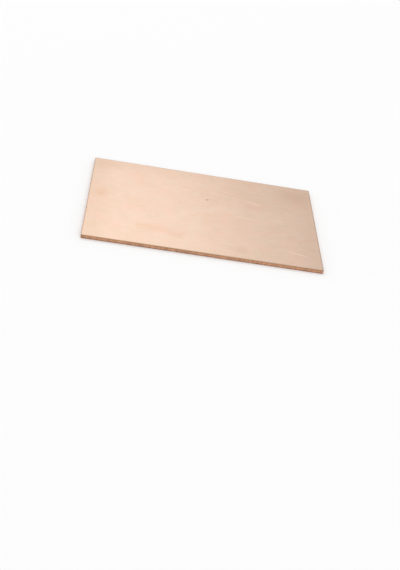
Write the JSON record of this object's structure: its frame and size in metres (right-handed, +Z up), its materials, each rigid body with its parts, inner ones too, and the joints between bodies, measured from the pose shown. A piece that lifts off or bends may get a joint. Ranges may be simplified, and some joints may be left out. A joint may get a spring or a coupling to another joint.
{
  "type": "copper clad board",
  "caption": "Flat rectangular blank of phenolic paper laminate with copper foil bonded over its upper face, cut square, its copper edges rolled slightly down at the cuts.",
  "frame": {"origin": "centre of the bare underside, which lies on the ground", "axes": "+X along the board's length, +Y along its width, +Z up out of the copper face"},
  "size_m": [0.1, 0.07, 0.0015],
  "materials": {
    "laminate": "tan brown phenolic paper laminate, satin on its face, dull and ribbed on the cut edges",
    "copper": "bare pale pink copper foil, satin, finely brushed along its length"
  },
  "bodies": {
    "root": {"base_laminate": "laminate", "copper_foil": "copper"}
  },
  "joints": []
}
